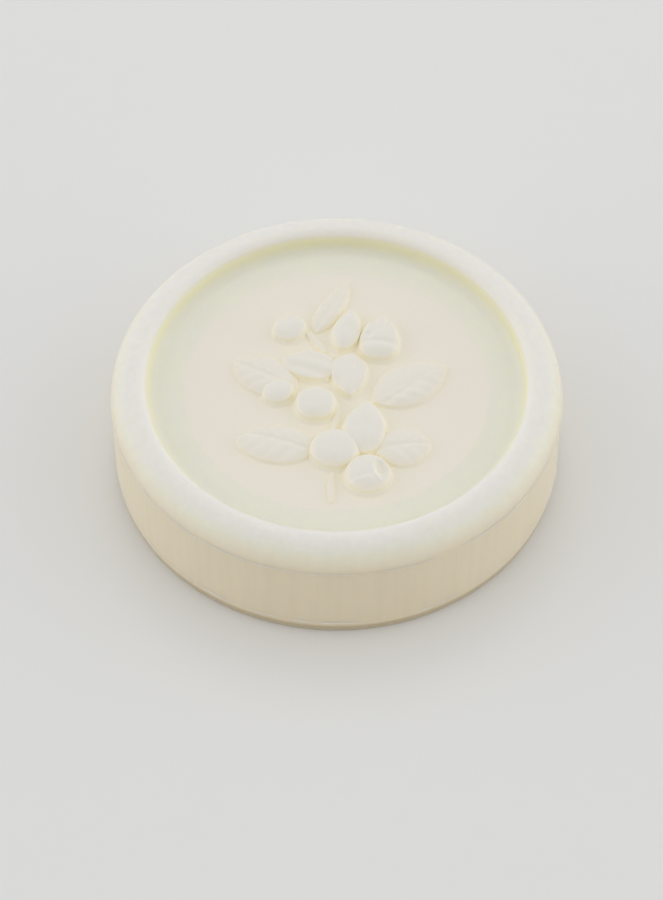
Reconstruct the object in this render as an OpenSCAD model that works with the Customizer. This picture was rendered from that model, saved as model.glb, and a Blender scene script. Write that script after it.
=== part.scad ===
// Shaving soap puck: a pressed cake with a shallow dish, and a raised sprig of leaves and
// nuts on the dish floor. The origin is at the middle of the base, +Z is up, and the foot
// of the sprig's stem points to -Y.

/* [Cake] */
// Diameter of the straight wall
cake_d = 80; // [70:0.5:100]
// Height from the base to the crest of the rim
cake_h = 22; // [19:0.5:30]
// Height of the lower flash line, where the straight wall starts
lower_line_z = 2.6; // [1.5:0.1:4]
// How far the base's edge is drawn in under the wall
base_tuck = 0.7; // [0.3:0.1:2]
// Radius of the rounded shoulder, from the straight wall to the crest
shoulder_r = 4.8; // [3.5:0.1:6]

/* [Dish] */
// Depth of the dish floor below the crest
dish_depth = 3.7; // [3.4:0.1:5]
// Width of the slope between the dish floor and the crest
dish_slope_w = 2.2; // [1.6:0.1:3]
// Radius that rounds the crest into the dish
lip_r = 1.2; // [0.8:0.1:1.5]

/* [Flash] */
// How far the flash stands out from the wall
flash_proud = 0.15; // [0.05:0.05:0.4]
// Height of a flash line
flash_h = 0.5; // [0.3:0.1:1]

/* [Sprig] */
// Size of the sprig, as a multiple of a sprig 50 mm long
sprig_size = 1; // [0.8:0.05:1.05]
// Width of the groove along the middle of a leaf
rib_w = 0.7; // [0.4:0.1:1]
// Height of a leaf's edge above the dish floor
leaf_edge_h = 0.5; // [0.3:0.1:0.8]
// Gap that a leaf keeps from a nut lying over it
sprig_gap = 0.1; // [0.05:0.05:0.3]

/* [Hidden] */
cake_r = cake_d / 2;
crest_r = cake_r - shoulder_r;
floor_z = cake_h - dish_depth;
dish_r = crest_r - dish_slope_w;
shoulder_z = cake_h - shoulder_r;

soap = [0.88, 0.85, 0.77];
soap_relief = [0.90, 0.87, 0.80];
soap_flash = [0.94, 0.92, 0.86];

arc_steps = 14;
outline_steps = 16;
smooth = 64;

// The places in a sprig piece's list. The middle is from the middle of the dish, and the
// turn is the way that its tip points, anticlockwise from +X.
MID_X = 0;
MID_Y = 1;
TURN = 2;
LONG = 3;
HALF_W = 4;
HIGH = 5;
BELLY = 6;
BLUNT = 7;

//                   x      y    turn  long  half  high belly blunt
FRONT_NUT        = [-0.3, -14.1,   90,  8.6, 4.4,  2.6, 0.90, 0.60];
OPEN_HUSK        = [ 5.4, -19.7,  105,  8.4, 4.1,  2.4, 0.95, 0.50];
DROP_NUT         = [ 5.0,  -8.8,   83, 11.4, 3.8,  2.4, 0.80, 0.65];
CENTRE_NUT       = [-3.7,  -4.3,   90,  6.4, 3.4,  2.5, 1.00, 0.42];
TOP_NUT          = [ 1.9,  12.8,   78,  9.8, 2.7,  2.2, 0.85, 0.65];
BLOSSOM          = [ 7.7,  10.8,   85,  9.8, 3.6,  2.3, 1.05, 0.45];
LEFT_BUD         = [-8.4,  13.2,   20,  6.4, 2.9,  1.9, 0.95, 0.50];
SIDE_BUD         = [-10.3, -1.4,   25,  6.2, 2.7,  1.9, 1.00, 0.50];
LEFT_PETAL       = [-5.8,   4.8,  170,  8.0, 3.4,  1.6, 0.90, 0.60];
RIGHT_PETAL      = [ 2.3,   1.4,  -88,  9.6, 3.4,  1.8, 0.80, 0.70];
LEFT_UPPER_LEAF  = [-13.2,  2.8,  150, 11.6, 4.3,  1.3, 0.90, 0.75];
LEFT_LOWER_LEAF  = [-11.2, -12.9, 174, 12.6, 4.2,  1.4, 0.90, 0.60];
RIGHT_UPPER_LEAF = [13.4,   0.8,   31, 14.2, 4.5,  1.4, 0.90, 0.85];
RIGHT_LOWER_LEAF = [12.2, -13.6,    4,  8.2, 4.1,  1.5, 1.00, 0.60];
TOP_LEAF         = [-0.6,  18.8,   62, 13.2, 2.3,  1.2, 0.80, 0.85];

// A stem is [start x, start y, end x, end y, start radius, end radius]
LOWER_STEM  = [-1.0, -25.2, -0.8, -19.6, 0.50, 0.40];
MIDDLE_STEM = [-0.5,  -9.3,  0.2,  -6.2, 0.55, 0.55];
UPPER_STEM  = [-5.0,  12.4, -2.3,   8.4, 0.60, 0.55];

// A bead is [x, y, radius]
SEED_BEADS = [[-0.8, 6.6, 0.9], [-1.3, 4.9, 0.8], [-1.2, 3.3, 0.75], [-1.7, 1.9, 0.7]];

// Points on an elliptical arc about [x, z], from angle a to angle b
function arc(x, z, rx, rz, a, b) =
    [for (i = [0 : arc_steps])
        let (t = a + (b - a) * i / arc_steps)
        [x + rx * cos(t), z + rz * sin(t)]];

// Half width of a sprig piece at t, which runs from 0 at its base to 1 at its tip
function half_width(p, t) =
    t <= 0 || t >= 1 ? 0 : p[HALF_W] * pow(sin(180 * pow(t, p[BELLY])), p[BLUNT]);

// One side of a sprig piece's outline, from base to tip
function side(p) =
    [for (i = [0 : outline_steps])
        let (t = (1 - cos(180 * i / outline_steps)) / 2)
        [(t - 0.5) * p[LONG], half_width(p, t)]];

// Radius of the circle through the ends and the crown of an arch
function arch_r(span, rise) = (span * span / 4 + rise * rise) / (2 * rise);

// ---- The cake ----

module cake_profile() {
    lip_x = crest_r - lip_r;
    polygon(concat(
        [[0, 0]],
        arc(cake_r - base_tuck, lower_line_z, base_tuck, lower_line_z, -90, 0),
        arc(crest_r, shoulder_z, shoulder_r, shoulder_r, 0, 90),
        arc(crest_r, cake_h - lip_r, lip_r, lip_r, 90, 150),
        [[dish_r, floor_z], [0, floor_z]]));
}

module puck_body() {
    color(soap)
        rotate_extrude($fn = smooth * 2)
            cake_profile();
}

// A thin ring of flash whose back lies on the wall
module flash_line(mid_z) {
    color(soap_flash)
        rotate_extrude($fn = smooth * 2)
            polygon([[cake_r, mid_z - flash_h / 2],
                     [cake_r + flash_proud, mid_z - flash_h / 6],
                     [cake_r + flash_proud, mid_z + flash_h / 6],
                     [cake_r, mid_z + flash_h / 2]]);
}

module upper_flash() { flash_line(shoulder_z - flash_h / 2); }

module lower_flash() { flash_line(lower_line_z + flash_h / 2); }

// ---- Shapes of the sprig ----

// Places the sprig on the dish floor, and cuts off what would be below it
module on_floor() {
    room = 2 * dish_r;
    translate([0, 0, floor_z])
        scale(sprig_size)
            intersection() {
                union() children();
                translate([-room / 2, -room / 2, 0]) cube([room, room, room / 4]);
            }
}

module lay(p) {
    translate([p[MID_X], p[MID_Y], 0])
        rotate([0, 0, p[TURN]])
            children();
}

// A piece's outline, made larger all round by grow
module outline(p, grow = 0) {
    q = [for (i = [0 : BLUNT]) i == LONG ? p[i] + 2 * grow : i == HALF_W ? p[i] + grow : p[i]];
    half = side(q);
    polygon(concat(half, [for (i = [outline_steps - 1 : -1 : 1]) [half[i][0], -half[i][1]]]));
}

// The upright space over a piece's outline, cut out of what lies under the piece
module room_for(p) {
    lay(p) translate([0, 0, -1]) linear_extrude(12) outline(p, sprig_gap);
}

// A nut lies on its side, turned about its long axis and sunk until it is HIGH tall
module nut(p) {
    lay(p)
        translate([0, 0, p[HIGH] - p[HALF_W]])
            rotate([0, 90, 0])
                rotate_extrude($fn = smooth)
                    polygon([for (q = side(p)) [q[1], q[0]]]);
}

// A leaf is an outline under a crown that falls to its ends and its sides
module leaf(p) {
    rise = p[HIGH] - leaf_edge_h;
    long_r = arch_r(p[LONG], rise);
    side_r = arch_r(2 * p[HALF_W], rise);
    lay(p)
        difference() {
            intersection() {
                linear_extrude(p[HIGH] + 1) outline(p);
                translate([0, 0, p[HIGH] - long_r]) sphere(long_r, $fn = smooth * 2);
                translate([0, 0, p[HIGH] - side_r])
                    rotate([0, 90, 0])
                        cylinder(r = side_r, h = 2 * p[LONG], center = true, $fn = smooth * 2);
            }
            translate([0, 0, p[HIGH] - long_r])
                rotate([90, 0, 0])
                    rotate_extrude($fn = smooth * 2)
                        translate([long_r, 0]) circle(rib_w / 2, $fn = 24);
        }
}

// A round stem lies half sunk, with round ends
module stem(s) {
    run = [s[2] - s[0], s[3] - s[1]];
    translate([s[0], s[1], 0])
        rotate([0, 90, atan2(run[1], run[0])]) {
            cylinder(r1 = s[4], r2 = s[5], h = norm(run), $fn = smooth);
            sphere(s[4], $fn = smooth);
            translate([0, 0, norm(run)]) sphere(s[5], $fn = smooth);
        }
}

// ---- The pieces of the sprig, from the top layer down ----

module front_nut() { color(soap_relief) on_floor() nut(FRONT_NUT); }

module open_husk() {
    cup_r = 2.3;
    cup_at = [6.9, -20.1, OPEN_HUSK[HIGH] + 1.2];
    color(soap_relief) on_floor()
        difference() {
            nut(OPEN_HUSK);
            room_for(FRONT_NUT);
            translate(cup_at) sphere(cup_r, $fn = smooth);
        }
}

module drop_nut() {
    color(soap_relief) on_floor()
        difference() {
            nut(DROP_NUT);
            room_for(FRONT_NUT);
            room_for(OPEN_HUSK);
        }
}

module centre_nut() { color(soap_relief) on_floor() nut(CENTRE_NUT); }

module top_nut() { color(soap_relief) on_floor() nut(TOP_NUT); }

// The blossom is a blunt nut with notches that part its far end into sepals
module blossom() {
    notch_at = 1.2;
    notch_l = 5;
    notch_w = 1.1;
    color(soap_relief) on_floor()
        difference() {
            nut(BLOSSOM);
            for (turn = [-21, 21])
                lay(BLOSSOM) rotate([0, 0, turn]) translate([notch_at, 0, -1]) linear_extrude(6)
                    polygon([[0, 0], [notch_l, -notch_w / 2], [notch_l, notch_w / 2]]);
            room_for(TOP_NUT);
        }
}

module left_bud() { color(soap_relief) on_floor() nut(LEFT_BUD); }

module side_bud() {
    color(soap_relief) on_floor()
        difference() {
            nut(SIDE_BUD);
            room_for(CENTRE_NUT);
        }
}

module right_petal() {
    color(soap_relief) on_floor()
        difference() {
            nut(RIGHT_PETAL);
            room_for(DROP_NUT);
            room_for(CENTRE_NUT);
            room_for(TOP_NUT);
            room_for(BLOSSOM);
        }
}

module left_petal() {
    color(soap_relief) on_floor()
        difference() {
            leaf(LEFT_PETAL);
            room_for(CENTRE_NUT);
            room_for(RIGHT_PETAL);
            room_for(SIDE_BUD);
        }
}

module seed_beads() {
    color(soap_relief) on_floor()
        difference() {
            for (b = SEED_BEADS) translate([b[0], b[1], 0]) sphere(b[2], $fn = smooth);
            room_for(RIGHT_PETAL);
            room_for(LEFT_PETAL);
            room_for(TOP_NUT);
        }
}

module left_upper_leaf() {
    color(soap_relief) on_floor()
        difference() {
            leaf(LEFT_UPPER_LEAF);
            room_for(SIDE_BUD);
            room_for(LEFT_PETAL);
        }
}

module left_lower_leaf() {
    color(soap_relief) on_floor()
        difference() {
            leaf(LEFT_LOWER_LEAF);
            room_for(FRONT_NUT);
        }
}

module right_upper_leaf() {
    color(soap_relief) on_floor()
        difference() {
            leaf(RIGHT_UPPER_LEAF);
            room_for(DROP_NUT);
            room_for(BLOSSOM);
        }
}

module right_lower_leaf() {
    color(soap_relief) on_floor()
        difference() {
            leaf(RIGHT_LOWER_LEAF);
            room_for(DROP_NUT);
            room_for(OPEN_HUSK);
        }
}

module top_leaf() {
    color(soap_relief) on_floor()
        difference() {
            leaf(TOP_LEAF);
            room_for(TOP_NUT);
        }
}

module lower_stem() { color(soap_relief) on_floor() stem(LOWER_STEM); }

module middle_stem() {
    color(soap_relief) on_floor()
        difference() {
            stem(MIDDLE_STEM);
            room_for(FRONT_NUT);
            room_for(CENTRE_NUT);
            room_for(DROP_NUT);
        }
}

module upper_stem() {
    color(soap_relief) on_floor()
        difference() {
            stem(UPPER_STEM);
            room_for(TOP_LEAF);
            room_for(LEFT_PETAL);
            room_for(LEFT_BUD);
        }
}

puck_body();
upper_flash();
lower_flash();
lower_stem();
middle_stem();
upper_stem();
front_nut();
drop_nut();
centre_nut();
top_nut();
left_bud();
side_bud();
open_husk();
blossom();
left_petal();
right_petal();
seed_beads();
left_upper_leaf();
left_lower_leaf();
right_upper_leaf();
right_lower_leaf();
top_leaf();
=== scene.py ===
# %% [markdown]
# # A puck of shaving soap
# This lesson dresses a imported CAD model of a pressed soap puck: a round cake with a shallow dish and a low
# sprig of leaves and nuts on the dish floor. The CAD model comes in first and stays where it is, because
# every size and place below is read from it.

# %% Load the frame
import math
import bmesh
import bpy
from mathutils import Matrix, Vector, noise


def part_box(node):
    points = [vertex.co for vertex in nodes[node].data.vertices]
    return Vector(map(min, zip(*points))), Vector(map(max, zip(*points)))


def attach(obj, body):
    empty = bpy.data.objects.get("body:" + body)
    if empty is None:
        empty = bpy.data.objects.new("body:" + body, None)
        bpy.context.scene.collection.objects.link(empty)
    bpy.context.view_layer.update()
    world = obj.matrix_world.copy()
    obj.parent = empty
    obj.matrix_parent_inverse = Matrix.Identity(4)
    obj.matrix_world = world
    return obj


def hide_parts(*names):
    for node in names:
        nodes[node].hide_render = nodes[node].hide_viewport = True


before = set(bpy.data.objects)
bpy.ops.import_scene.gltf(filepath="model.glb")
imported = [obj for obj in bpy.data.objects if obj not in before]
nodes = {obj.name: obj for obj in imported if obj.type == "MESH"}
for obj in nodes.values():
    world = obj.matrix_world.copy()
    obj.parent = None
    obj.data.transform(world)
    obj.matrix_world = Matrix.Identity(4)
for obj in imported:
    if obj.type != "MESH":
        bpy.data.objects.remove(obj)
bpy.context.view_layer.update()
MM = 0.001
print("CAD nodes:", len(nodes))

# %% [markdown]
# ## Sizes taken from the CAD
# A turned cake is settled by a few radii and heights. The boxes of the nodes give most of them. The radii
# of the base, the crest and the dish aren't the edges of any box, so they are read off the cake's own
# points: the widest point at that height.

# %% Read the sizes
SAME_HEIGHT = 0.01 * MM


def widest_at(node, z, limit=math.inf):
    """Radius of a node's widest point at height z, inside the limit."""
    near = [v.co for v in nodes[node].data.vertices if abs(v.co.z - z) < SAME_HEIGHT]
    return max(r for r in (math.hypot(co.x, co.y) for co in near) if r < limit)


WALL_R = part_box("puck_body")[1].x
CAKE_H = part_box("puck_body")[1].z
FLOOR_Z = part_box("front_nut")[0].z
UPPER_LINE_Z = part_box("upper_flash")[1].z
LOWER_LINE_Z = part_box("lower_flash")[0].z
BASE_R = widest_at("puck_body", 0)
CREST_R = widest_at("puck_body", CAKE_H)
DISH_R = widest_at("puck_body", FLOOR_Z, CREST_R)
print(f"wall radius {WALL_R / MM:.1f}, height {CAKE_H / MM:.1f}, dish floor at {FLOOR_Z / MM:.1f} mm")
print(f"base radius {BASE_R / MM:.2f}, crest {CREST_R / MM:.2f}, dish {DISH_R / MM:.2f} mm")

# %% [markdown]
# ## Camera
# The puck is seen from above and in front, from far enough away that its round outline hardly tapers. A long
# lens from far off does that. The Standard view keeps pale colours pale, where a filmic one greys them.

# %% Camera
LENS = 120
SENSOR_HEIGHT = 36
CAMERA_PLACE = (-0.9 * MM, -336.7 * MM, 429.9 * MM)
CAMERA_TILT = math.radians(38.1)
camera_data = bpy.data.cameras.new("camera")
camera_data.sensor_fit = "VERTICAL"
camera_data.sensor_height = SENSOR_HEIGHT
camera_data.lens = LENS
camera = bpy.data.objects.new("camera", camera_data)
camera.location = CAMERA_PLACE
camera.rotation_euler = (CAMERA_TILT, 0, 0)
bpy.context.scene.collection.objects.link(camera)
bpy.context.scene.camera = camera
bpy.context.scene.view_settings.view_transform = "Standard"
print(f"lens {LENS} mm, {math.dist(CAMERA_PLACE, (0, 0, 0)) / MM:.0f} mm from the puck")

# %% [markdown]
# ## A tent of light
# Pale soap shows best in a tent of white cloth: light comes from above, from behind and mostly from the
# two sides, and the viewer's side is open, so less light and a warmer tint come from there. Lamps would give
# such soft light only if they were huge. A world whose colour follows the direction does it with no edge
# anywhere. Two things settle a direction's colour: how far it looks to the open side, and how far sideways.
# The tent is dim on purpose, because the soap's own tones are nearly white, as the finishes explain.

# %% Helpers for nodes
def add_node(tree, kind, values=None, **settings):
    node = tree.nodes.new(kind)
    for name, value in settings.items():
        setattr(node, name, value)
    for name, value in (values or {}).items():
        node.inputs[name].default_value = value
    return node


def wire(tree, *pairs):
    for start, end in pairs:
        tree.links.new(start, end)


# %% Tent of light
TENT_LIGHT = 0.56
CLOTH_TONE = (1, 1, 1, 1)
SIDE_TONE = (2.5, 2.5, 2.5, 1)
OPENING_TONE = (0.16, 0.11, 0.0, 1)
OPENING_TILT = 0.6
OPENING_EDGES = (-1.0, -0.1)
world = bpy.data.worlds.new("light_tent")
world.use_nodes = True
bpy.context.scene.world = world
tent = world.node_tree
sky = tent.nodes["Background"]
sky.inputs["Strength"].default_value = TENT_LIGHT
look = add_node(tent, "ShaderNodeTexCoord")
to_opening = add_node(tent, "ShaderNodeVectorMath", {1: (0, 1, OPENING_TILT)}, operation="DOT_PRODUCT")
cover = add_node(tent, "ShaderNodeMapRange", {"From Min": OPENING_EDGES[0], "From Max": OPENING_EDGES[1]},
                 interpolation_type="SMOOTHSTEP")
cloth = add_node(tent, "ShaderNodeMix", {"A": OPENING_TONE, "B": CLOTH_TONE}, data_type="RGBA")
axes = add_node(tent, "ShaderNodeSeparateXYZ")
sideways = add_node(tent, "ShaderNodeMath", operation="MULTIPLY")
sides = add_node(tent, "ShaderNodeMix", {"B": SIDE_TONE}, data_type="RGBA")
wire(tent,
     (look.outputs["Generated"], to_opening.inputs[0]),
     (to_opening.outputs["Value"], cover.inputs["Value"]),
     (cover.outputs["Result"], cloth.inputs["Factor"]),
     (look.outputs["Generated"], axes.inputs["Vector"]),
     (axes.outputs["X"], sideways.inputs[0]),
     (axes.outputs["X"], sideways.inputs[1]),
     (sideways.outputs["Value"], sides.inputs["Factor"]),
     (cloth.outputs["Result"], sides.inputs["A"]),
     (sides.outputs["Result"], sky.inputs["Color"]))
print("tent strength", TENT_LIGHT)

# %% [markdown]
# ### A light over the back of the tent
# One broad lamp above and behind the puck brings a little shape back. The floor in front of the puck then
# lies in the puck's own soft shadow, and so the wall on that side gets less light from below.

# %% Back light
BACK_ENERGY = 0.5
BACK_SIZE = 0.4
BACK_PLACE = Vector((0, 0.45, 0.75))
back_data = bpy.data.lights.new("back_light", "AREA")
back_data.shape = "DISK"
back_data.size = BACK_SIZE
back_data.energy = BACK_ENERGY
back = bpy.data.objects.new("back_light", back_data)
back.location = BACK_PLACE
back.rotation_euler = (-BACK_PLACE).to_track_quat("-Z", "Y").to_euler()
bpy.context.scene.collection.objects.link(back)
print("back light", BACK_ENERGY, "W")

# %% [markdown]
# ## Groups that several finishes share
# All the soap is one batch, so its parts share the same effects: a tone that changes with height, partly its
# own and partly painted light and shade, painted yellow light in hollows, painted light on small slopes, a
# mottle and a pressed skin. Each effect is a node group, built once, and every finish sets its own values.

# %% Start a group
def new_group(name, inputs, outputs):
    """A node group with its sockets: (label, kind, value) for each input, (label, kind) for each output."""
    tree = bpy.data.node_groups.new(name, "ShaderNodeTree")
    for label, kind, value in inputs:
        socket = tree.interface.new_socket(label, in_out="INPUT", socket_type="NodeSocket" + kind)
        socket.default_value = value
    for label, kind in outputs:
        tree.interface.new_socket(label, in_out="OUTPUT", socket_type="NodeSocket" + kind)
    print("group", name, "takes", [label for label, kind, value in inputs])
    return tree, add_node(tree, "NodeGroupInput"), add_node(tree, "NodeGroupOutput")


def place_group(tree, group, values=None):
    """Puts a node group into a finish, with the finish's own values."""
    return add_node(tree, "ShaderNodeGroup", values, node_tree=group)


# %% [markdown]
# ### Height band
# Some tones follow the height on the puck, and most of them are painted light and shade: the raised parts get
# a painted highlight, the wall a painted shade over its own yellow tone, and the foot of the wall a painted
# shadow. This group gives a mask that rises from 0 to 1 between two heights, softly at both ends.

# %% Height band
height_band, band_in, band_out = new_group(
    "height_band", [("Low", "Float", 0.0), ("High", "Float", 0.01)], [("Mask", "Float")])
place = add_node(height_band, "ShaderNodeTexCoord")
up = add_node(height_band, "ShaderNodeSeparateXYZ")
rise = add_node(height_band, "ShaderNodeMapRange", interpolation_type="SMOOTHSTEP")
wire(height_band,
     (place.outputs["Object"], up.inputs["Vector"]),
     (up.outputs["Z"], rise.inputs["Value"]),
     (band_in.outputs["Low"], rise.inputs["From Min"]),
     (band_in.outputs["High"], rise.inputs["From Max"]),
     (rise.outputs["Result"], band_out.inputs["Mask"]))

# %% [markdown]
# ### Hollows
# Light wanders inside soap and gathers in its hollows, where it comes out yellower. Real scattering inside
# one solid shows that, but it stops at the seam between two solids, and the sprig's pieces are solids of
# their own. So that light is painted: the ambient occlusion node finds hollows across the seams and gives
# the mask for a lighter, yellower tone painted into them.

# %% Hollows
hollows, hollow_in, hollow_out = new_group(
    "hollows", [("Reach", "Float", 0.002), ("Start", "Float", 0.04), ("Full", "Float", 0.45)],
    [("Mask", "Float")])
open_share = add_node(hollows, "ShaderNodeAmbientOcclusion", samples=8)
closed_share = add_node(hollows, "ShaderNodeMath", {0: 1.0}, operation="SUBTRACT")
soft = add_node(hollows, "ShaderNodeMapRange", interpolation_type="SMOOTHSTEP")
wire(hollows,
     (hollow_in.outputs["Reach"], open_share.inputs["Distance"]),
     (open_share.outputs["AO"], closed_share.inputs[1]),
     (closed_share.outputs["Value"], soft.inputs["Value"]),
     (hollow_in.outputs["Start"], soft.inputs["From Min"]),
     (hollow_in.outputs["Full"], soft.inputs["From Max"]),
     (soft.outputs["Result"], hollow_out.inputs["Mask"]))

# %% [markdown]
# ### Painted light on slopes
# Light that enters the top of a small raised shape leaves again through its sides, so its slopes look
# nearly as light as its top. That light is painted: a lighter tone goes on the slopes, by a mask that
# follows how far the surface leans away from level.

# %% Painted light on slopes
slopes, slope_in, slope_out = new_group(
    "slope_light_mask", [("Level", "Float", 0.97), ("Steep", "Float", 0.55)], [("Mask", "Float")])
place = add_node(slopes, "ShaderNodeTexCoord")
facing = add_node(slopes, "ShaderNodeSeparateXYZ")
lean = add_node(slopes, "ShaderNodeMapRange", interpolation_type="SMOOTHSTEP")
wire(slopes,
     (place.outputs["Normal"], facing.inputs["Vector"]),
     (facing.outputs["Z"], lean.inputs["Value"]),
     (slope_in.outputs["Level"], lean.inputs["From Min"]),
     (slope_in.outputs["Steep"], lean.inputs["From Max"]),
     (lean.outputs["Result"], slope_out.inputs["Mask"]))

# %% [markdown]
# ### Mottle
# Milled soap is never one even colour: it keeps faint clouds from the mill and fine flecks, and the ring of
# the die drags upright streaks down the wall as the cake is pushed out. Three noises, a broad one, a fine one
# and one that a Mapping node stretches upwards, give a value around 1 that multiplies the tone.

# %% Mottle
UPRIGHT = (1, 1, 0.05)
mottle, mottle_in, mottle_out = new_group(
    "mottle",
    [("Tone", "Color", (1, 1, 1, 1)), ("Clouds", "Float", 0.015), ("Flecks", "Float", 0.03),
     ("Streaks", "Float", 0.0)],
    [("Tone", "Color")])
place = add_node(mottle, "ShaderNodeTexCoord")
stretch = add_node(mottle, "ShaderNodeMapping", {"Scale": UPRIGHT})
wire(mottle, (place.outputs["Object"], stretch.inputs["Vector"]))
toned = mottle_in.outputs["Tone"]
for share, points, scale, detail in (("Clouds", place.outputs["Object"], 110.0, 3.0),
                                     ("Flecks", place.outputs["Object"], 1600.0, 2.0),
                                     ("Streaks", stretch.outputs["Vector"], 700.0, 3.0)):
    pattern = add_node(mottle, "ShaderNodeTexNoise", {"Scale": scale, "Detail": detail})
    middle = add_node(mottle, "ShaderNodeMath", {1: 0.5}, operation="SUBTRACT")
    around_one = add_node(mottle, "ShaderNodeMath", {2: 1.0}, operation="MULTIPLY_ADD")
    shaded = add_node(mottle, "ShaderNodeVectorMath", operation="SCALE")
    wire(mottle,
         (points, pattern.inputs["Vector"]),
         (pattern.outputs["Fac"], middle.inputs[0]),
         (middle.outputs["Value"], around_one.inputs[0]),
         (mottle_in.outputs[share], around_one.inputs[1]),
         (toned, shaded.inputs[0]),
         (around_one.outputs["Value"], shaded.inputs["Scale"]))
    toned = shaded.outputs["Vector"]
wire(mottle, (toned, mottle_out.inputs["Tone"]))

# %% [markdown]
# ### Pressed skin
# A steel die leaves soap smooth but not polished: a fine grain, slow ripples where the soap sprang back, and
# here and there a pinhole from a bubble. The group adds the three up as one height for a bump, and gives a
# roughness that is a little higher where the grain stands up.

# %% Pressed skin
GRAIN_SCALE = 5200.0
RIPPLE_SCALE = 260.0
PINHOLE_SCALE = 420.0
PINHOLE_EDGE = (0.03, 0.07)
GRAIN_ROUGHENS = 0.16
skin, skin_in, skin_out = new_group(
    "pressed_skin",
    [("Grain", "Float", 0.15), ("Ripple", "Float", 0.5), ("Pinholes", "Float", 0.4),
     ("Roughness", "Float", 0.42)],
    [("Height", "Float"), ("Roughness", "Float")])
place = add_node(skin, "ShaderNodeTexCoord")
grain = add_node(skin, "ShaderNodeTexNoise", {"Scale": GRAIN_SCALE, "Detail": 3.0})
ripple = add_node(skin, "ShaderNodeTexNoise", {"Scale": RIPPLE_SCALE, "Detail": 1.0})
cells = add_node(skin, "ShaderNodeTexVoronoi", {"Scale": PINHOLE_SCALE})
hole = add_node(skin, "ShaderNodeMapRange",
                {"From Min": PINHOLE_EDGE[0], "From Max": PINHOLE_EDGE[1], "To Min": -1.0, "To Max": 0.0},
                interpolation_type="SMOOTHSTEP")
grain_height = add_node(skin, "ShaderNodeMath", operation="MULTIPLY")
ripple_height = add_node(skin, "ShaderNodeMath", operation="MULTIPLY_ADD")
hole_height = add_node(skin, "ShaderNodeMath", operation="MULTIPLY_ADD")
rougher = add_node(skin, "ShaderNodeMath", {1: GRAIN_ROUGHENS}, operation="MULTIPLY_ADD")
wire(skin,
     (place.outputs["Object"], grain.inputs["Vector"]),
     (place.outputs["Object"], ripple.inputs["Vector"]),
     (place.outputs["Object"], cells.inputs["Vector"]),
     (grain.outputs["Fac"], grain_height.inputs[0]),
     (skin_in.outputs["Grain"], grain_height.inputs[1]),
     (ripple.outputs["Fac"], ripple_height.inputs[0]),
     (skin_in.outputs["Ripple"], ripple_height.inputs[1]),
     (grain_height.outputs["Value"], ripple_height.inputs[2]),
     (cells.outputs["Distance"], hole.inputs["Value"]),
     (hole.outputs["Result"], hole_height.inputs[0]),
     (skin_in.outputs["Pinholes"], hole_height.inputs[1]),
     (ripple_height.outputs["Value"], hole_height.inputs[2]),
     (hole_height.outputs["Value"], skin_out.inputs["Height"]),
     (grain.outputs["Fac"], rougher.inputs[0]),
     (skin_in.outputs["Roughness"], rougher.inputs[2]),
     (rougher.outputs["Value"], skin_out.inputs["Roughness"]))
print("groups:", len(bpy.data.node_groups))

# %% [markdown]
# ## Soap finishes
# Every soap finish is built the same way. It starts with the tone of its lowest part and lays one more tone
# over it for each band of height, mostly painted light and shade. Then small slopes may get painted light,
# painted yellow light goes into the hollows, the mottle goes over it, and the skin sets the roughness and the
# bump. A layer can lie on a plain tone or on another layer, so one helper gives a socket either of the two.

# %% Layers of tone
def feed(tree, source, socket):
    """Gives a socket its source, which is another socket or a plain tone."""
    if isinstance(source, tuple):
        socket.default_value = source
    else:
        wire(tree, (source, socket))


def lay_over(tree, below, mask, tone, share=1.0):
    """Lays a tone over what is below, as far as the mask and the share say."""
    if share < 1:
        part = add_node(tree, "ShaderNodeMath", {1: share}, operation="MULTIPLY")
        wire(tree, (mask, part.inputs[0]))
        mask = part.outputs["Value"]
    laid = add_node(tree, "ShaderNodeMix", {"B": tone}, data_type="RGBA")
    wire(tree, (mask, laid.inputs["Factor"]))
    feed(tree, below, laid.inputs["A"])
    return laid.outputs["Result"]


# %% [markdown]
# ### How far the light goes in
# Clean soap sends back nearly all the light that falls on it. So the tones are close to white and the tent
# is dim: light that bounces between the raised pieces then fills their hollows, as it does on real soap,
# and the relief stays faint. The big cake also lets light wander inside it. The sprig and the middle of the
# dish floor don't, because the scattering stops at the seam between two solids and would draw a grey line
# round every raised piece.

# %% One soap finish
SOAP_SHINE = 0.3
SPREAD = (0.9, 0.9, 0.7)
SKIN_BUMP = 0.35
SKIN_DEPTH = 0.1 * MM
# painted light: the lighter tone laid on small slopes, as light that leaves through their sides
SLOPE_LIGHT_TONE = (1.0, 0.965, 0.85, 1)


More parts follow.
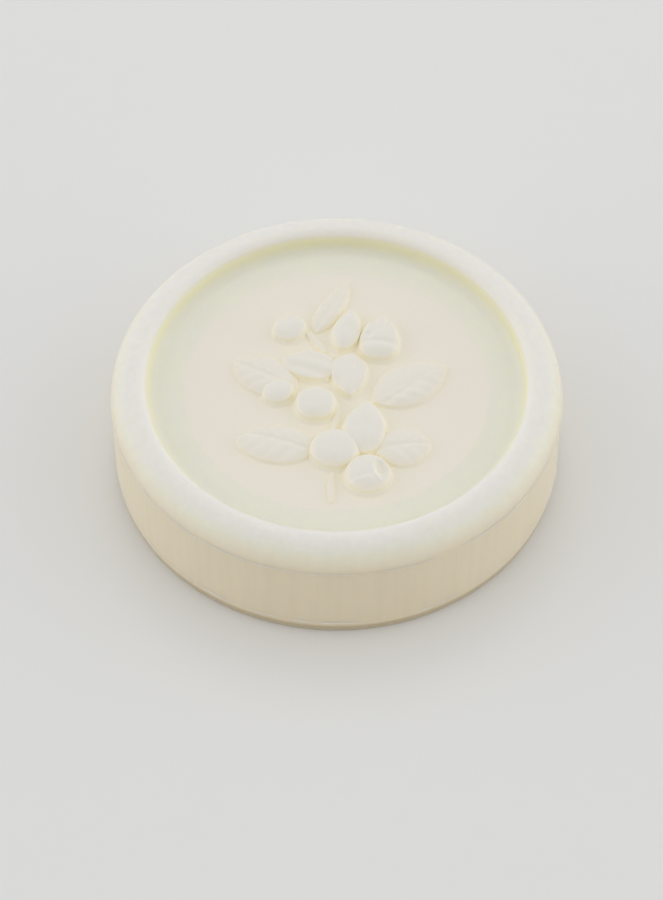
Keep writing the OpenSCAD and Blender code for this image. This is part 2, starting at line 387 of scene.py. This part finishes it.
def soap(name, tone, bands=(), painted_slope_light=0.0, painted_hollow_light=None, streaks=0.0, reach=0.0):
    """A soap finish. A band is (low, high, tone above it), and the painted light in hollows is (tone, share,
    hollows' values).
    """
    material = bpy.data.materials.new(name)
    material.use_nodes = True
    tree = material.node_tree
    shader = tree.nodes["Principled BSDF"]
    shader.inputs["Specular IOR Level"].default_value = SOAP_SHINE
    if reach:
        shader.inputs["Subsurface Weight"].default_value = 1.0
        shader.inputs["Subsurface Radius"].default_value = SPREAD
        shader.inputs["Subsurface Scale"].default_value = reach
    for low, high, above in bands:
        band = place_group(tree, height_band, {"Low": low, "High": high})
        tone = lay_over(tree, tone, band.outputs["Mask"], above)
    # painted light on the slopes
    if painted_slope_light:
        slope = place_group(tree, slopes)
        tone = lay_over(tree, tone, slope.outputs["Mask"], SLOPE_LIGHT_TONE, painted_slope_light)
    # painted yellow light in the hollows
    if painted_hollow_light:
        hollow_light_tone, share, values = painted_hollow_light
        hollow = place_group(tree, hollows, values)
        tone = lay_over(tree, tone, hollow.outputs["Mask"], hollow_light_tone, share)
    mottled = place_group(tree, mottle, {"Streaks": streaks})
    pressed = place_group(tree, skin)
    raised = add_node(tree, "ShaderNodeBump", {"Strength": SKIN_BUMP, "Distance": SKIN_DEPTH})
    feed(tree, tone, mottled.inputs["Tone"])
    wire(tree,
         (mottled.outputs["Tone"], shader.inputs["Base Color"]),
         (pressed.outputs["Roughness"], shader.inputs["Roughness"]),
         (pressed.outputs["Height"], raised.inputs["Height"]),
         (raised.outputs["Normal"], shader.inputs["Normal"]))
    print(f"finish {name}: {len(bands)} bands, light goes {reach / MM:.0f} mm in")
    return material


# %% [markdown]
# ### Wall, rim and slope
# The wall is a yellow soap tone with painted shade over it, and its foot, where it meets the paper, is
# painted brown as its shadow. It is painted paler towards the rim, whose top has a painted highlight. Inside
# the rim, the outer ring of the dish floor is pale, the slope above it has painted yellow light, because
# light gathers there, and the lip has the painted highlight again. Both finishes also get painted yellow
# light in their creases, and both let light in.

# %% Wall, rim and slope
CAKE_REACH = 2 * MM
# painted shadow: the dark brown foot of the wall, where it meets the paper
TOE_SHADOW_TONE = (0.40, 0.30, 0.18, 1)
# the wall's yellow soap tone, darkened as painted shade
SHADED_WALL_TONE = (0.855, 0.765, 0.585, 1)
DEEP_TONE = (0.972, 0.905, 0.785, 1)
# painted highlight: the lighter, whiter tone of the rim and the lip, where light falls from above
RIM_HIGHLIGHT_TONE = (0.92, 0.89, 0.845, 1)
# painted light: the yellow of light gathered in the creases and on the dish's slope
CREASE_LIGHT_TONE = (0.985, 0.905, 0.67, 1)
TOE_SHADOW_BAND = (1.2 * MM, 2.5 * MM, SHADED_WALL_TONE)
# painted light: the upper wall pales as it turns up towards the light
UPPER_WALL_LIGHT_BAND = (16.4 * MM, 21.2 * MM, DEEP_TONE)
RIM_HIGHLIGHT_BAND = (20.2 * MM, 21.9 * MM, RIM_HIGHLIGHT_TONE)
# painted light on the dish's slope
CREASE_LIGHT_BAND = (FLOOR_Z + 0.1 * MM, FLOOR_Z + 1.4 * MM, CREASE_LIGHT_TONE)
# painted highlight on the lip
LIP_BAND = (CAKE_H - 1.8 * MM, CAKE_H - 0.5 * MM, RIM_HIGHLIGHT_TONE)
# mask of the creases for their painted light
CREASE = {"Reach": 3.0 * MM, "Start": 0.08, "Full": 0.32}
cake_soap = soap("cake_soap", TOE_SHADOW_TONE, (TOE_SHADOW_BAND, UPPER_WALL_LIGHT_BAND, RIM_HIGHLIGHT_BAND), painted_hollow_light=(CREASE_LIGHT_TONE, 0.4, CREASE),
                 streaks=0.08, reach=CAKE_REACH)
slope_soap = soap("slope_soap", DEEP_TONE, (CREASE_LIGHT_BAND, LIP_BAND), painted_hollow_light=(CREASE_LIGHT_TONE, 0.3, CREASE),
                  reach=CAKE_REACH)

# %% [markdown]
# ### Dish floor, sprig and flash
# The floor and the sprig take the same tones, with the same painted highlight on raised tops and painted
# yellow light in the hollows, so that a raised piece seems to rise out of the floor and not to lie on it.
# Only the sprig's slopes get painted light. The flash is so thin that it is dry right through: one pale tone
# with no bands.

# %% Dish floor, sprig and flash
FRESH_TONE = (0.948, 0.90, 0.79, 1)
# painted highlight: the sprig's raised tops are whiter and less yellow than the floor, where light falls from
# above
RELIEF_HIGHLIGHT_TONE = (0.93, 0.90, 0.825, 1)
# painted light: the lighter yellow laid into the hollows, as light gathered there
HOLLOW_LIGHT_TONE = (1.0, 0.92, 0.68, 1)
PALE_TONE = (0.90, 0.85, 0.74, 1)
# painted highlight on raised tops, from 0.3 to 2 mm above the floor
RELIEF_HIGHLIGHT_BAND = (FLOOR_Z + 0.3 * MM, FLOOR_Z + 2.0 * MM, RELIEF_HIGHLIGHT_TONE)
# mask of the hollows for their painted light
CREVICE = {"Reach": 4.0 * MM, "Start": 0.02, "Full": 0.50}
dish_soap = soap("dish_soap", FRESH_TONE, (RELIEF_HIGHLIGHT_BAND,), painted_hollow_light=(HOLLOW_LIGHT_TONE, 0.8, CREVICE))
sprig_soap = soap("sprig_soap", FRESH_TONE, (RELIEF_HIGHLIGHT_BAND,), painted_slope_light=0.9, painted_hollow_light=(HOLLOW_LIGHT_TONE, 0.6, CREVICE))
flash_soap = soap("flash_soap", PALE_TONE)

# %% [markdown]
# ## Floor
# The puck lies on matt white paper, which the light tent turns light grey. It gets a faint tooth, so that the
# contact shadow falls on a surface and not on a flat colour.

# %% Piece helper
def new_piece(name, bm, *materials):
    """Makes a smooth object of a bmesh, at the origin, with its materials in the order given."""
    mesh = bpy.data.meshes.new(name)
    bm.to_mesh(mesh)
    bm.free()
    mesh.polygons.foreach_set("use_smooth", [True] * len(mesh.polygons))
    for material in materials:
        mesh.materials.append(material)
    piece = bpy.data.objects.new(name, mesh)
    bpy.context.scene.collection.objects.link(piece)
    print(f"{name}: {len(mesh.polygons)} faces")
    return piece


# %% Floor
PAPER_TONE = (0.885, 0.888, 0.88, 1)
PAPER_HALF = 2.0
PAPER_SHINE = 0.2
PAPER_ROUGHNESS = 0.9
TOOTH_BUMP = 0.1
TOOTH_DEPTH = 0.05 * MM
bm = bmesh.new()
bmesh.ops.create_grid(bm, x_segments=1, y_segments=1, size=PAPER_HALF)
paper = bpy.data.materials.new("white_paper")
paper.use_nodes = True
tree = paper.node_tree
sheet = tree.nodes["Principled BSDF"]
sheet.inputs["Specular IOR Level"].default_value = PAPER_SHINE
sheet.inputs["Roughness"].default_value = PAPER_ROUGHNESS
flecked = place_group(tree, mottle, {"Tone": PAPER_TONE, "Clouds": 0.01, "Flecks": 0.01})
tooth = place_group(tree, skin, {"Pinholes": 0.0, "Ripple": 0.0})
raised = add_node(tree, "ShaderNodeBump", {"Strength": TOOTH_BUMP, "Distance": TOOTH_DEPTH})
wire(tree,
     (flecked.outputs["Tone"], sheet.inputs["Base Color"]),
     (tooth.outputs["Height"], raised.inputs["Height"]),
     (raised.outputs["Normal"], sheet.inputs["Normal"]))
floor = new_piece("floor", bm, paper)

# %% [markdown]
# ## Turning
# The cake, the flash and every raised piece start as a turned shape: a section of a few straight and round
# stretches, spun about the upright axis. Spin leaves doubled points on the axis and doesn't know which side
# is outside, so the doubles are merged and then the normals are worked out again.

# %% Arcs and straights
def arc(x, z, rx, rz, start, end, steps):
    """A round stretch about (x, z), from one angle in degrees to another."""
    turns = [math.radians(start + (end - start) * i / steps) for i in range(steps + 1)]
    return [(x + rx * math.cos(t), z + rz * math.sin(t)) for t in turns]


def run(a, b, steps):
    """Even steps from a to b, without its ends."""
    return [(a[0] + (b[0] - a[0]) * i / steps, a[1] + (b[1] - a[1]) * i / steps) for i in range(1, steps)]


# %% Lathe
SAME_POINT = 0.0005 * MM


def turn_on_lathe(section, steps, closed=False):
    """Spins a chain of (radius, height) points round the upright axis."""
    bm = bmesh.new()
    points = [bm.verts.new((r, 0, z)) for r, z in section]
    edges = [bm.edges.new(pair) for pair in zip(points, points[1:] + points[:1] if closed else points[1:])]
    bmesh.ops.spin(bm, geom=points + edges, cent=(0, 0, 0), axis=(0, 0, 1), dvec=(0, 0, 0),
                   angle=math.tau, steps=steps, use_merge=True)
    bmesh.ops.remove_doubles(bm, verts=bm.verts, dist=SAME_POINT)
    bmesh.ops.recalc_face_normals(bm, faces=bm.faces)
    return bm


# %% [markdown]
# ## The cake
# The die presses a flat base, a straight wall, a rounded shoulder and a rim that rolls into the dish. The
# CAD gives all of that as one turned section. Two places are rounder here, because soap doesn't fill a sharp
# corner of a die: the lip of the dish, and the foot of its slope.

# %% Section of the cake
LIP_R = 1.6 * MM
LIP_END = 150
FOOT_R = 2.4 * MM
bottom = arc(BASE_R, LOWER_LINE_Z, WALL_R - BASE_R, LOWER_LINE_Z, -90, 0, 10)
shoulder = arc(CREST_R, UPPER_LINE_Z, WALL_R - CREST_R, CAKE_H - UPPER_LINE_Z, 0, 90, 24)
lip = arc(CREST_R, CAKE_H - LIP_R, LIP_R, LIP_R, 90, LIP_END, 8)
slope = math.atan2(lip[-1][1] - FLOOR_Z, lip[-1][0] - DISH_R)
foot_run = FOOT_R * math.tan(slope / 2)
foot = arc(DISH_R - foot_run, FLOOR_Z + FOOT_R, FOOT_R, FOOT_R, -90 + math.degrees(slope), -90, 8)
section = [(0, 0)] + run((0, 0), bottom[0], 8) + bottom + run(bottom[-1], shoulder[0], 16) + shoulder
section += lip[1:] + run(lip[-1], foot[0], 5) + foot
section += run(foot[-1], (0, FLOOR_Z), 40) + [(0, FLOOR_Z)]
bm = turn_on_lathe(section, 256)
print(f"section of {len(section)} points, slope {math.degrees(slope):.0f} degrees")

# %% [markdown]
# ### Uneven wall, and which finish goes where
# A pressed cake isn't a perfect turning. A slow noise dents the wall and the rim by a few hundredths of a
# millimetre, always inwards, so that the cake doesn't grow. Then the faces are shared out: the middle of the
# dish floor takes the finish without scattering, and the ring round it and the slope take the slope's.

# %% Cake
UNEVEN = 0.06 * MM
DENT_SCALE = 60
SHORT_ZONE_R = 27.5 * MM
LIP_INNER_R = CREST_R - LIP_R
for v in bm.verts:
    r = math.hypot(v.co.x, v.co.y)
    if r > LIP_INNER_R:
        dent = UNEVEN * (0.5 + 0.5 * noise.noise(v.co * DENT_SCALE))
        share = (r - LIP_INNER_R) / (WALL_R - LIP_INNER_R)
        v.co.x *= 1 - dent * share / r
        v.co.y *= 1 - dent * share / r
        v.co.z -= dent * (1 - share) if v.co.z > FLOOR_Z else 0

for face in bm.faces:
    middle = face.calc_center_median()
    r = math.hypot(middle.x, middle.y)
    if middle.z > FLOOR_Z - MM and r < CREST_R:
        face.material_index = 1 if r < SHORT_ZONE_R else 2
cake = new_piece("soap_cake", bm, cake_soap, dish_soap, slope_soap)
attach(cake, "root")
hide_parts("puck_body")

# %% [markdown]
# ## Flash
# A little soap squeezes into the two joints of the die and leaves a thin raised line all round the wall. It
# tears when the die opens, so it stands out by a different amount everywhere and is gone in places. A small
# section is spun in many steps, and then each point is drawn in by a noise. The line stands out a little less
# than the CAD's, so that no part of it can leave the CAD's box.

# %% Section of a flash line
FLASH_STEPS = 720
FLASH_ROOT = 0.4 * MM
FLASH_TAPER = 0.8
FLASH_NOSE = 0.7
FLASH_SHARE = 0.97


def flash_section(mid, half, proud):
    """A thin ridge with a rounded nose. Its root is inside the wall."""
    back = WALL_R - FLASH_ROOT
    skin_r = WALL_R - UNEVEN
    below = [(back, mid - half), (skin_r, mid - half * FLASH_TAPER)]
    above = [(skin_r, mid + half * FLASH_TAPER), (back, mid + half)]
    return below + arc(skin_r, mid, proud + UNEVEN, half * FLASH_NOSE, -70, 70, 6) + above


# %% Tears
PATCH_STRETCH = 2.5
CRUMB = 0.6
CRUMB_SCALE = 900
WAVE = 0.25
WAVE_SCALE = 300


def tear(bm, half, lift, patch):
    """Draws the nose in where a noise says that the flash is torn, and makes it wander up and down."""
    for v in bm.verts:
        r = math.hypot(v.co.x, v.co.y)
        if r > WALL_R - UNEVEN / 2:
            torn = noise.noise(v.co * patch * PATCH_STRETCH) + CRUMB * noise.noise(v.co * CRUMB_SCALE)
            keep = min(max(lift + torn, 0.0), 1.0)
            drawn = (r - WALL_R + UNEVEN) * (1 - keep) / r
            v.co.x *= 1 - drawn
            v.co.y *= 1 - drawn
        v.co.z += WAVE * half * noise.noise(v.co * WAVE_SCALE)


# %% Flash lines
for name, lift, patch in (("upper_flash", 0.35, 55), ("lower_flash", 0.1, 90)):
    low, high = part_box(name)
    mid = (low.z + high.z) / 2
    half = (high.z - low.z) / 2
    bm = turn_on_lathe(flash_section(mid, half, FLASH_SHARE * (high.x - WALL_R)), FLASH_STEPS, closed=True)
    tear(bm, half, lift, patch)
    line = new_piece("soap_" + name, bm, flash_soap)
    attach(line, "root")
    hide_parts(name)

# %% [markdown]
# ## The raised sprig
# Each leaf, nut and bud is a low bun with its own outline. One way would be to draw every outline and inflate
# it. Here all of them come from the same turned bun: its round plan is squeezed to the outline, and a small
# function may add ribs, veins or hollows to its height.
#
# ### Outline
# Half the width of a piece is one curve from its base to its tip. The belly says how far along it is widest,
# and the blunt number how round its ends are: a small number for a nut, a larger one for a pointed leaf.

# %% Outline
def half_width(t, half, belly, blunt):
    """Half width of a piece at t, from 0 at its base to 1 at its tip."""
    if t <= 0 or t >= 1:
        return 0.0
    return half * math.sin(math.pi * t ** belly) ** blunt


print("a leaf's half width at its quarters:", [round(half_width(t / 4, 1, 0.9, 0.6), 2) for t in range(5)])

# %% [markdown]
# ### Section of a bun
# The top is a crown that falls off towards the outline. The foot then flares out to meet the dish floor, as
# a die's rounded edge leaves it, runs on a little below the floor and goes down into the cake, so that no
# gap shows.

# %% Section of a bun
BURY = 1.5 * MM
TAIL = 0.3 * MM
TAIL_SLOPE = math.radians(8)
FLARE_END = 264


def bun_section(high, crown, foot, rings):
    """A chain of (share of the outline, height). Past 1, the share counts millimetres beyond the outline."""
    rise_power, crown_power = crown
    chain = []
    for i in range(rings + 1):
        share = math.sin(math.pi / 2 * i / rings)
        chain.append((share, foot + (high - foot) * (1 - share ** rise_power) ** crown_power))
    flare = foot / MM
    chain += [(1 + x, z * MM) for x, z in arc(flare, flare, flare, flare, 180, FLARE_END, 6)[1:]]
    below = 1 + flare + TAIL / MM
    chain += [(below, -TAIL * math.sin(TAIL_SLOPE)), (below, -BURY), (0, -BURY)]
    return chain


# %% [markdown]
# ### Fitting a bun to its node
# A piece takes its place, length, width and height from the CAD node that it replaces, measured along and
# across the way the node is turned.

# %% Measure a node
def measure(node, turn):
    """Ends, sides and height of a CAD node, along and across the way it is turned."""
    a = math.radians(turn)
    along = [v.co.x * math.cos(a) + v.co.y * math.sin(a) for v in nodes[node].data.vertices]
    across = [-v.co.x * math.sin(a) + v.co.y * math.cos(a) for v in nodes[node].data.vertices]
    low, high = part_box(node)
    return min(along), max(along), min(across), max(across), high.z - low.z


# %% Squeeze to the outline
ON_AXIS = 1e-6


def onto_outline(co, half_long, wide, belly, blunt):
    """Where a point of the round bun goes: inside the outline by its share, and past it straight out."""
    share = math.hypot(co.x, co.y)
    if share <= ON_AXIS:
        return 0.0, 0.0
    inner = min(share, 1)
    u, w = co.x / share * inner, co.y / share * inner
    chord = math.sqrt(max(1 - u * u, 1e-9))
    out = Vector((u * half_long, w / chord * half_width((1 + u) / 2, wide, belly, blunt)))
    if share > 1:
        out += out.normalized() * (share - 1) * MM
    return tuple(out)


# %% [markdown]
# ### Pressing a piece
# The die's cut for one piece is the bun, squeezed, dented by the same slow noise as the cake but finer, and
# given its details. Both fade out towards the foot, so that the meeting with the floor stays clean. The flare
# covers part of the outline's width, so the outline is drawn in by a share of it.

# %% Press
FOOT_SHARE = 0.3
SKIN_START = 0.1 * MM
FULL_DETAIL = 1.6
FINE_DENT_SCALE = 500


def smooth(x):
    x = min(max(x, 0), 1)
    return x * x * (3 - 2 * x)


def press(name, turn, belly, blunt, tuck=0, grow=0, crown=(2.2, 0.62), foot=0.9 * MM, detail=None,
          steps=96, rings=28, half=None):
    """Makes a raised piece in place of a node. Tuck lengthens its base, under the piece it grows from."""
    lo, hi, left, right, high = measure(name, turn)
    lo -= tuck
    mid, side = (lo + hi) / 2, (left + right) / 2
    half_long = (hi - lo) / 2 - FOOT_SHARE * foot + grow
    wide = (half or (right - left) / 2) - FOOT_SHARE * foot + grow
    a = math.radians(turn)
    bm = turn_on_lathe(bun_section(high, crown, foot, rings), steps)
    for v in bm.verts:
        x, y = onto_outline(v.co, half_long, wide, belly, blunt)
        z = v.co.z
        if z > SKIN_START:
            level = smooth(z / high * FULL_DETAIL)
            z += UNEVEN * noise.noise(Vector((x + mid, y + side, 0)) * FINE_DENT_SCALE) * level
            if detail:
                z += detail(x / MM, y / MM) * MM * level
        v.co = ((mid + x) * math.cos(a) - (side + y) * math.sin(a),
                (mid + x) * math.sin(a) + (side + y) * math.cos(a), FLOOR_Z + z)
    bmesh.ops.recalc_face_normals(bm, faces=bm.faces)
    piece = new_piece("soap_" + name, bm, sprig_soap)
    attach(piece, "root")
    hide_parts(name)


# %% [markdown]
# ### Leaves
# A leaf has a groove along its middle and shallow waves between its side veins, which lean towards the tip.
# The groove may lean across the leaf, as it does on one that is pressed partly on its side. One leaf has its
# near side folded up. Details are functions of the place on the piece, in millimetres, and give a height in
# millimetres. They are built from one soft dip, so that nothing on the soap has a hard edge.

# %% Leaf details
def dip(distance, width):
    return math.exp(-(distance / width) ** 2)


def leaf_detail(rib=0.24, vein=0.06, pitch=2.7, lean=0.0, shift=0.0):
    def detail(x, y):
        off = y - lean * x - shift
        wave = math.cos(math.tau * (x - abs(off) * 0.8) / pitch)
        return -rib * dip(off, 0.5) + vein * wave * smooth(abs(off) / 1.2)
    return detail


def folded_leaf_detail(x, y):
    """A leaf whose near side is folded up as a lobe of its own."""
    crease = y + 0.9 - 0.1 * x
    lobe = 0.3 * dip(math.hypot((x + 1.6) / 3.2, (y + 2.6) / 1.3), 1.0)
    far_edge = 0.2 * dip(math.hypot((x - 4.2) / 1.6, (y + 0.2) / 1.4), 1.0)
    return leaf_detail(rib=0.1)(x, y) + lobe + far_edge - 0.22 * dip(crease, 0.6) * smooth((3.5 - x) / 3)


# %% Leaves
LEAF = {"crown": (2.4, 0.75), "foot": 0.5 * MM, "steps": 160, "rings": 40}
SMALL_LEAF = LEAF | {"foot": 0.4 * MM, "steps": 144, "rings": 32}
press("left_lower_leaf", 174, 0.9, 0.5, tuck=1.2 * MM, detail=leaf_detail(lean=-0.22, shift=-0.6), **LEAF)
press("left_upper_leaf", 150, 0.9, 0.6, tuck=1.5 * MM, detail=leaf_detail(), **LEAF)
press("right_upper_leaf", 31, 0.9, 0.8, tuck=1 * MM, grow=0.2 * MM, detail=folded_leaf_detail, **LEAF)
press("right_lower_leaf", 4, 1.0, 0.55, tuck=1.4 * MM, grow=0.2 * MM, detail=leaf_detail(lean=0.1), **LEAF)
press("top_leaf", 62, 0.8, 0.8, tuck=0.5 * MM, detail=leaf_detail(rib=0.18, vein=0.05), **SMALL_LEAF)

# %% [markdown]
# ### Nuts, buds, husk and blossom
# The nuts and the left bud have shallow facets, the side bud is plain, and the petals have soft folds. The
# husk has a hollow on one side with a thin lip round it. The blossom has a swollen foot, a waist, a small
# pit, and two grooves that part its far end into three sepals.

# %% Details of the husk and the blossom
def husk_detail(x, y):
    """A hollow near the husk's side, the lip round it, and a step across its back."""
    hollow = math.hypot((x + 0.3) / 1.7, (y + 2.1) / 0.9)
    step = 0.16 * dip(x + 1.9, 0.5) * smooth((y + 0.6) / 0.8) - 0.1 * dip(x + 1.0, 0.5)
    return -0.75 * smooth(1.45 - hollow) + 0.12 * dip(hollow - 1.6, 0.25) + step


def blossom_detail(x, y):
    """A swollen foot and a waist, a pit beside the middle, and two grooves that spread towards the tip."""
    swelling = 0.3 * dip(x + 3.2, 1.2) - 0.3 * dip(x + 1.6, 0.6)
    pit = -0.45 * dip(math.hypot(x + 0.1, y - 1.8), 0.7)
    groove = dip(abs(y) - 0.8 - 0.1 * x, 0.55) * smooth((x - 0.6) / 2.6)
    return swelling + pit - 0.4 * groove


# %% Details of the nuts and petals
def nut_detail(x, y):
    """Shallow facets, as a knife leaves them."""
    return 0.07 * math.cos(1.9 * y) - 0.05 * math.cos(1.3 * x + 0.6)


def petal_detail(x, y):
    """Three soft folds that fan out from the petal's base."""
    return 0.14 * math.cos(2.1 * y + 0.35 * x) - 0.25 * dip(math.hypot(x + 1.6, y - 1.4), 1.1)


# %% Nuts, buds, petals, husk and blossom
LARGE = {"crown": (2.6, 0.6), "steps": 160, "rings": 44}
press("front_nut", 90, 0.9, 0.52, grow=0.7 * MM, detail=nut_detail)
press("drop_nut", 83, 0.8, 0.6, tuck=1 * MM, grow=0.5 * MM, detail=nut_detail)
press("centre_nut", 90, 1.0, 0.34, grow=0.6 * MM, crown=(3, 0.6), detail=nut_detail)
press("top_nut", 78, 0.85, 0.6, grow=0.2 * MM, detail=nut_detail)
press("left_petal", 170, 0.9, 0.5, tuck=2.2 * MM, crown=(2.4, 0.6), detail=petal_detail)
press("right_petal", -88, 0.8, 0.6, tuck=1.4 * MM, grow=0.5 * MM, detail=petal_detail)
press("left_bud", 20, 0.95, 0.5, grow=0.3 * MM, detail=nut_detail)
press("side_bud", 25, 1.0, 0.5, grow=0.2 * MM)
press("open_husk", 105, 0.95, 0.42, grow=0.5 * MM, detail=husk_detail, **LARGE)
press("blossom", 85, 0.72, 0.42, grow=0.5 * MM, detail=blossom_detail, **LARGE)

# %% [markdown]
# ### Stems and seed beads
# A stem is a very long bun with blunt ends. In the CAD its neighbours cut into the upper one, so that one's
# half width is stated and not measured. The seed beads are so small that the CAD's domes are as good as any
# mesh, so they stay and only take the sprig's finish.

# %% Stems
STEM = {"grow": 0.1 * MM, "foot": 0.4 * MM, "steps": 64, "rings": 14}
press("lower_stem", 88, 1.0, 0.2, **STEM)
press("middle_stem", 77, 1.0, 0.2, **STEM)
press("upper_stem", 124, 1.0, 0.2, half=0.6 * MM, **STEM)

# %% Seed beads
beads = nodes["seed_beads"].data
beads.materials.clear()
beads.materials.append(sprig_soap)
print("seed beads:", len(beads.polygons), "faces, kept from the CAD")
